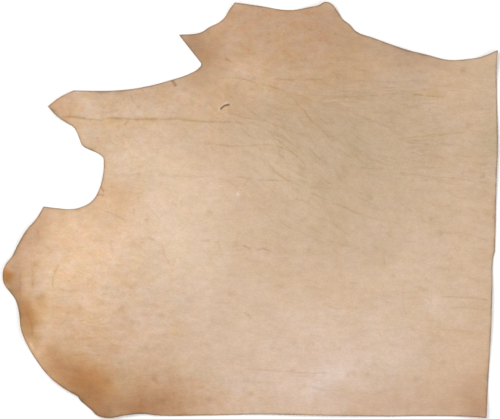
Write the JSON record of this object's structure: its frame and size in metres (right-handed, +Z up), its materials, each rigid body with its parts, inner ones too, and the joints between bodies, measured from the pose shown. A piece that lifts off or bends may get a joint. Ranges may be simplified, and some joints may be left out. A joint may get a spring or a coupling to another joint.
{
  "type": "leather side",
  "caption": "Natural vegetable-tanned cowhide side, cut square at the back and along the spine, lying flat grain side up with a rippled belly edge.",
  "frame": {"origin": "middle of the hide's bounding box, on the surface that it lies on", "axes": "+X from the belly tip to the spine cut, +Y from the back cut to the shank, +Z up from the flesh side to the grain side"},
  "size_m": [0.99, 0.832, 0.0186],
  "materials": {
    "leather": "natural undyed vegetable-tanned grain, matt, with neck wrinkles and darker belly edges"
  },
  "bodies": {
    "root": {"leather_side": "leather"}
  },
  "joints": []
}
